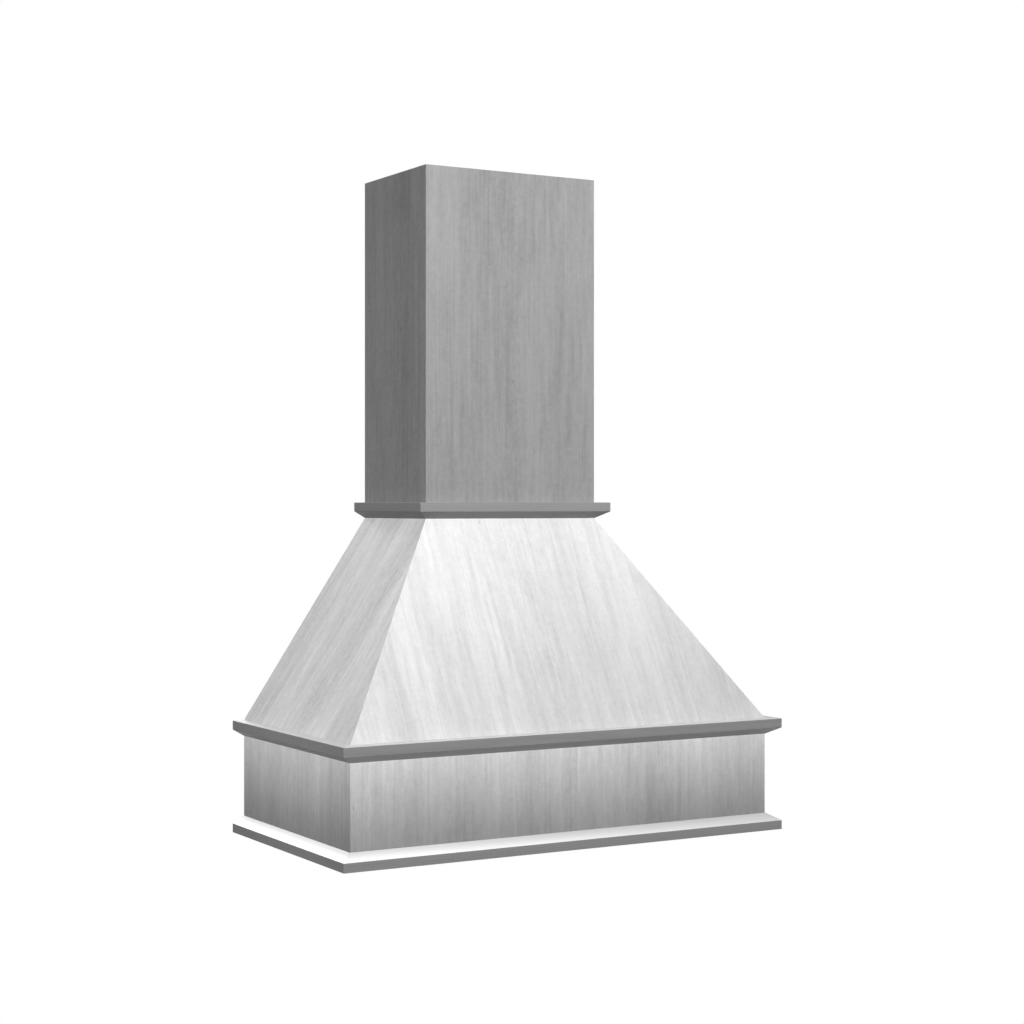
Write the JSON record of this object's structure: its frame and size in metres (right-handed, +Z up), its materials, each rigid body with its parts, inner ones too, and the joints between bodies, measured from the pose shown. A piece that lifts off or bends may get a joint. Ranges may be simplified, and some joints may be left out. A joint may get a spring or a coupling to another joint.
{
  "type": "range hood cover",
  "caption": "Wooden chimney-style cover for a wall-mounted extractor: moulded apron, sloping mitred canopy and upright duct chimney, hung on a bevelled wall cleat.",
  "frame": {"origin": "on the wall plane, on the centreline, midway between the wall cleat's two screw holes", "axes": "+Z up, +Y into the wall, the front faces -Y, +X to the right seen from the front"},
  "size_m": [1.0138, 0.5394, 1.3731],
  "materials": {
    "apron_wood": "fine straight grain, grey stain, satin",
    "moulding_wood": "grain along the moulding, grey stain, satin",
    "canopy_ply": "veneered sheet, grain up the slope, grey stain, satin",
    "chimney_ply": "veneered sheet, upright grain, grey stain, satin",
    "frame_wood": "bare sawn softwood",
    "screw_steel": "zinc plated"
  },
  "bodies": {
    "wall_cleat": {"wall_cleat": "frame_wood"},
    "cover": {"apron_back_rail": "frame_wood", "apron_corner_block_left": "frame_wood", "apron_corner_block_right": "frame_wood", "apron_front_board": "apron_wood", "apron_left_board": "apron_wood", "apron_mitre_splines": "frame_wood", "apron_right_board": "apron_wood", "apron_top_cleat_front": "frame_wood", "apron_top_cleat_left": "frame_wood", "apron_top_cleat_right": "frame_wood", "base_moulding_front": "moulding_wood", "base_moulding_left": "moulding_wood", "base_moulding_right": "moulding_wood", "canopy_back_stile_left": "frame_wood", "canopy_back_stile_right": "frame_wood", "canopy_base_rail_back": "frame_wood", "canopy_base_rail_front": "frame_wood", "canopy_base_rail_left": "frame_wood", "canopy_base_rail_right": "frame_wood", "canopy_base_screws": "screw_steel", "canopy_front_panel": "canopy_ply", "canopy_hanging_rail": "frame_wood", "canopy_hip_block_left": "frame_wood", "canopy_hip_block_right": "frame_wood", "canopy_left_panel": "canopy_ply", "canopy_mitre_splines": "frame_wood", "canopy_right_panel": "canopy_ply", "canopy_top_rail_back": "frame_wood", "canopy_top_rail_front": "frame_wood", "canopy_top_rail_left": "frame_wood", "canopy_top_rail_right": "frame_wood", "chimney_back_rail_middle": "frame_wood", "chimney_back_rail_top": "frame_wood", "chimney_base_cleat_back": "frame_wood", "chimney_base_cleat_front": "frame_wood", "chimney_base_cleat_left": "frame_wood", "chimney_base_cleat_right": "frame_wood", "chimney_base_screws": "screw_steel", "chimney_corner_strip_left": "frame_wood", "chimney_corner_strip_right": "frame_wood", "chimney_front_panel": "chimney_ply", "chimney_left_panel": "chimney_ply", "chimney_mitre_splines": "frame_wood", "chimney_right_panel": "chimney_ply", "chimney_top_nailer_front": "frame_wood", "chimney_top_nailer_left": "frame_wood", "chimney_top_nailer_right": "frame_wood", "collar_moulding_front": "moulding_wood", "collar_moulding_left": "moulding_wood", "collar_moulding_right": "moulding_wood", "hanging_cleat": "frame_wood", "hanging_cleat_screws": "screw_steel", "liner_frame_back": "frame_wood", "liner_frame_front": "frame_wood", "liner_frame_left": "frame_wood", "liner_frame_right": "frame_wood", "middle_moulding_front": "moulding_wood", "middle_moulding_left": "moulding_wood", "middle_moulding_right": "moulding_wood"}
  },
  "joints": [
    {"name": "cover_lift", "type": "slide", "parent": "wall_cleat", "child": "cover", "axis": [0, 0, 1], "range_m": [0, 0.0254]}
  ]
}
